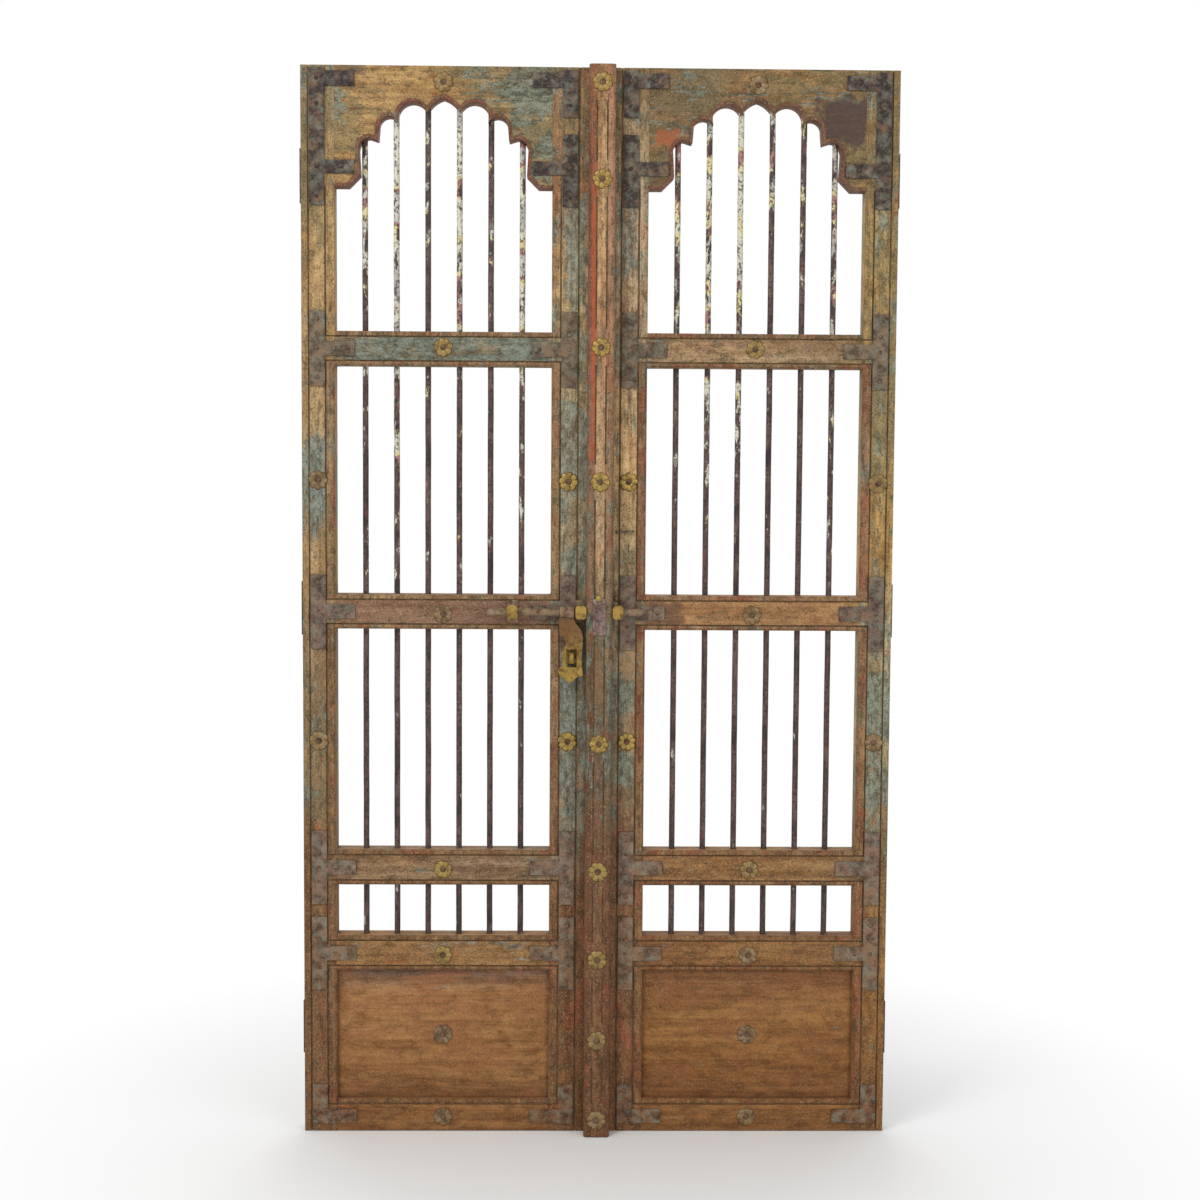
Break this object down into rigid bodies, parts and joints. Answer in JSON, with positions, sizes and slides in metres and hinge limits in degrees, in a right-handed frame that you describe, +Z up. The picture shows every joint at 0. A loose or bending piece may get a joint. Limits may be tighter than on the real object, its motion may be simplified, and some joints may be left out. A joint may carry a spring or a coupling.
{
  "type": "pair of jali doors",
  "caption": "Pair of old panelled wooden doors with iron bars, scalloped arched heads, iron joint straps, brass rosettes, a reeded cover strip and a sliding bolt with a hasp.",
  "frame": {"origin": "middle of the outer face of the left middle hinge flap, where it is screwed to the door frame", "axes": "X across the pair from left to right, Y back from the front face, Z up"},
  "size_m": [1.1174, 0.0962, 2],
  "materials": {
    "weathered_wood": "worn painted wood, dry and mottled",
    "panel_wood": "worn wood with traces of paint",
    "strip_wood": "worn red painted wood",
    "bar_iron": "rusted iron with flaking paint",
    "strap_iron": "dark rusted iron",
    "rosette_brass": "tarnished pressed brass",
    "bolt_brass": "worn cast brass",
    "hinge_iron": "dull rusted iron"
  },
  "bodies": {
    "hinges": {"left_frame_flaps": "hinge_iron", "left_hinge_pins": "hinge_iron", "right_frame_flaps": "hinge_iron", "right_hinge_pins": "hinge_iron"},
    "left_leaf": {"left_outer_stile": "weathered_wood", "left_meeting_stile": "weathered_wood", "left_bottom_rail": "weathered_wood", "left_panel_rail": "weathered_wood", "left_third_rail": "weathered_wood", "left_lock_rail": "weathered_wood", "left_upper_rail": "weathered_wood", "left_arched_rail": "weathered_wood", "left_panel": "panel_wood", "left_bars": "bar_iron", "left_outer_straps": "strap_iron", "left_meeting_straps": "strap_iron", "left_rosettes": "rosette_brass", "left_leaf_flaps": "hinge_iron", "cover_strip": "strip_wood", "strip_rosettes": "rosette_brass", "strip_plate": "strap_iron", "bolt_guides": "bolt_brass", "padlock_staple": "bolt_brass"},
    "right_leaf": {"right_outer_stile": "weathered_wood", "right_meeting_stile": "weathered_wood", "right_bottom_rail": "weathered_wood", "right_panel_rail": "weathered_wood", "right_third_rail": "weathered_wood", "right_lock_rail": "weathered_wood", "right_upper_rail": "weathered_wood", "right_arched_rail": "weathered_wood", "right_panel": "panel_wood", "right_bars": "bar_iron", "right_outer_straps": "strap_iron", "right_meeting_straps": "strap_iron", "right_rosettes": "rosette_brass", "right_leaf_flaps": "hinge_iron"},
    "bolt": {"bolt_rod": "bolt_brass", "hasp": "bolt_brass"}
  },
  "joints": [
    {"name": "right_leaf_swing", "type": "hinge", "parent": "hinges", "child": "right_leaf", "pos_m": [1.10825, 0.023, 0], "axis": [0, 0, -1], "range_deg": [0, 150]},
    {"name": "left_leaf_swing", "type": "hinge", "parent": "hinges", "child": "left_leaf", "pos_m": [0.00275, 0.023, 0], "axis": [0, 0, 1], "range_deg": [0, 90]},
    {"name": "hasp_lift", "type": "hinge", "parent": "left_leaf", "child": "bolt", "pos_m": [0.5025, -0.045, -0.003], "axis": [-1, 0, 0], "range_deg": [0, 150]}
  ],
  "couplings": [
    {"joint": "left_leaf_swing", "follows": "right_leaf_swing", "ratio": 0.6}
  ]
}
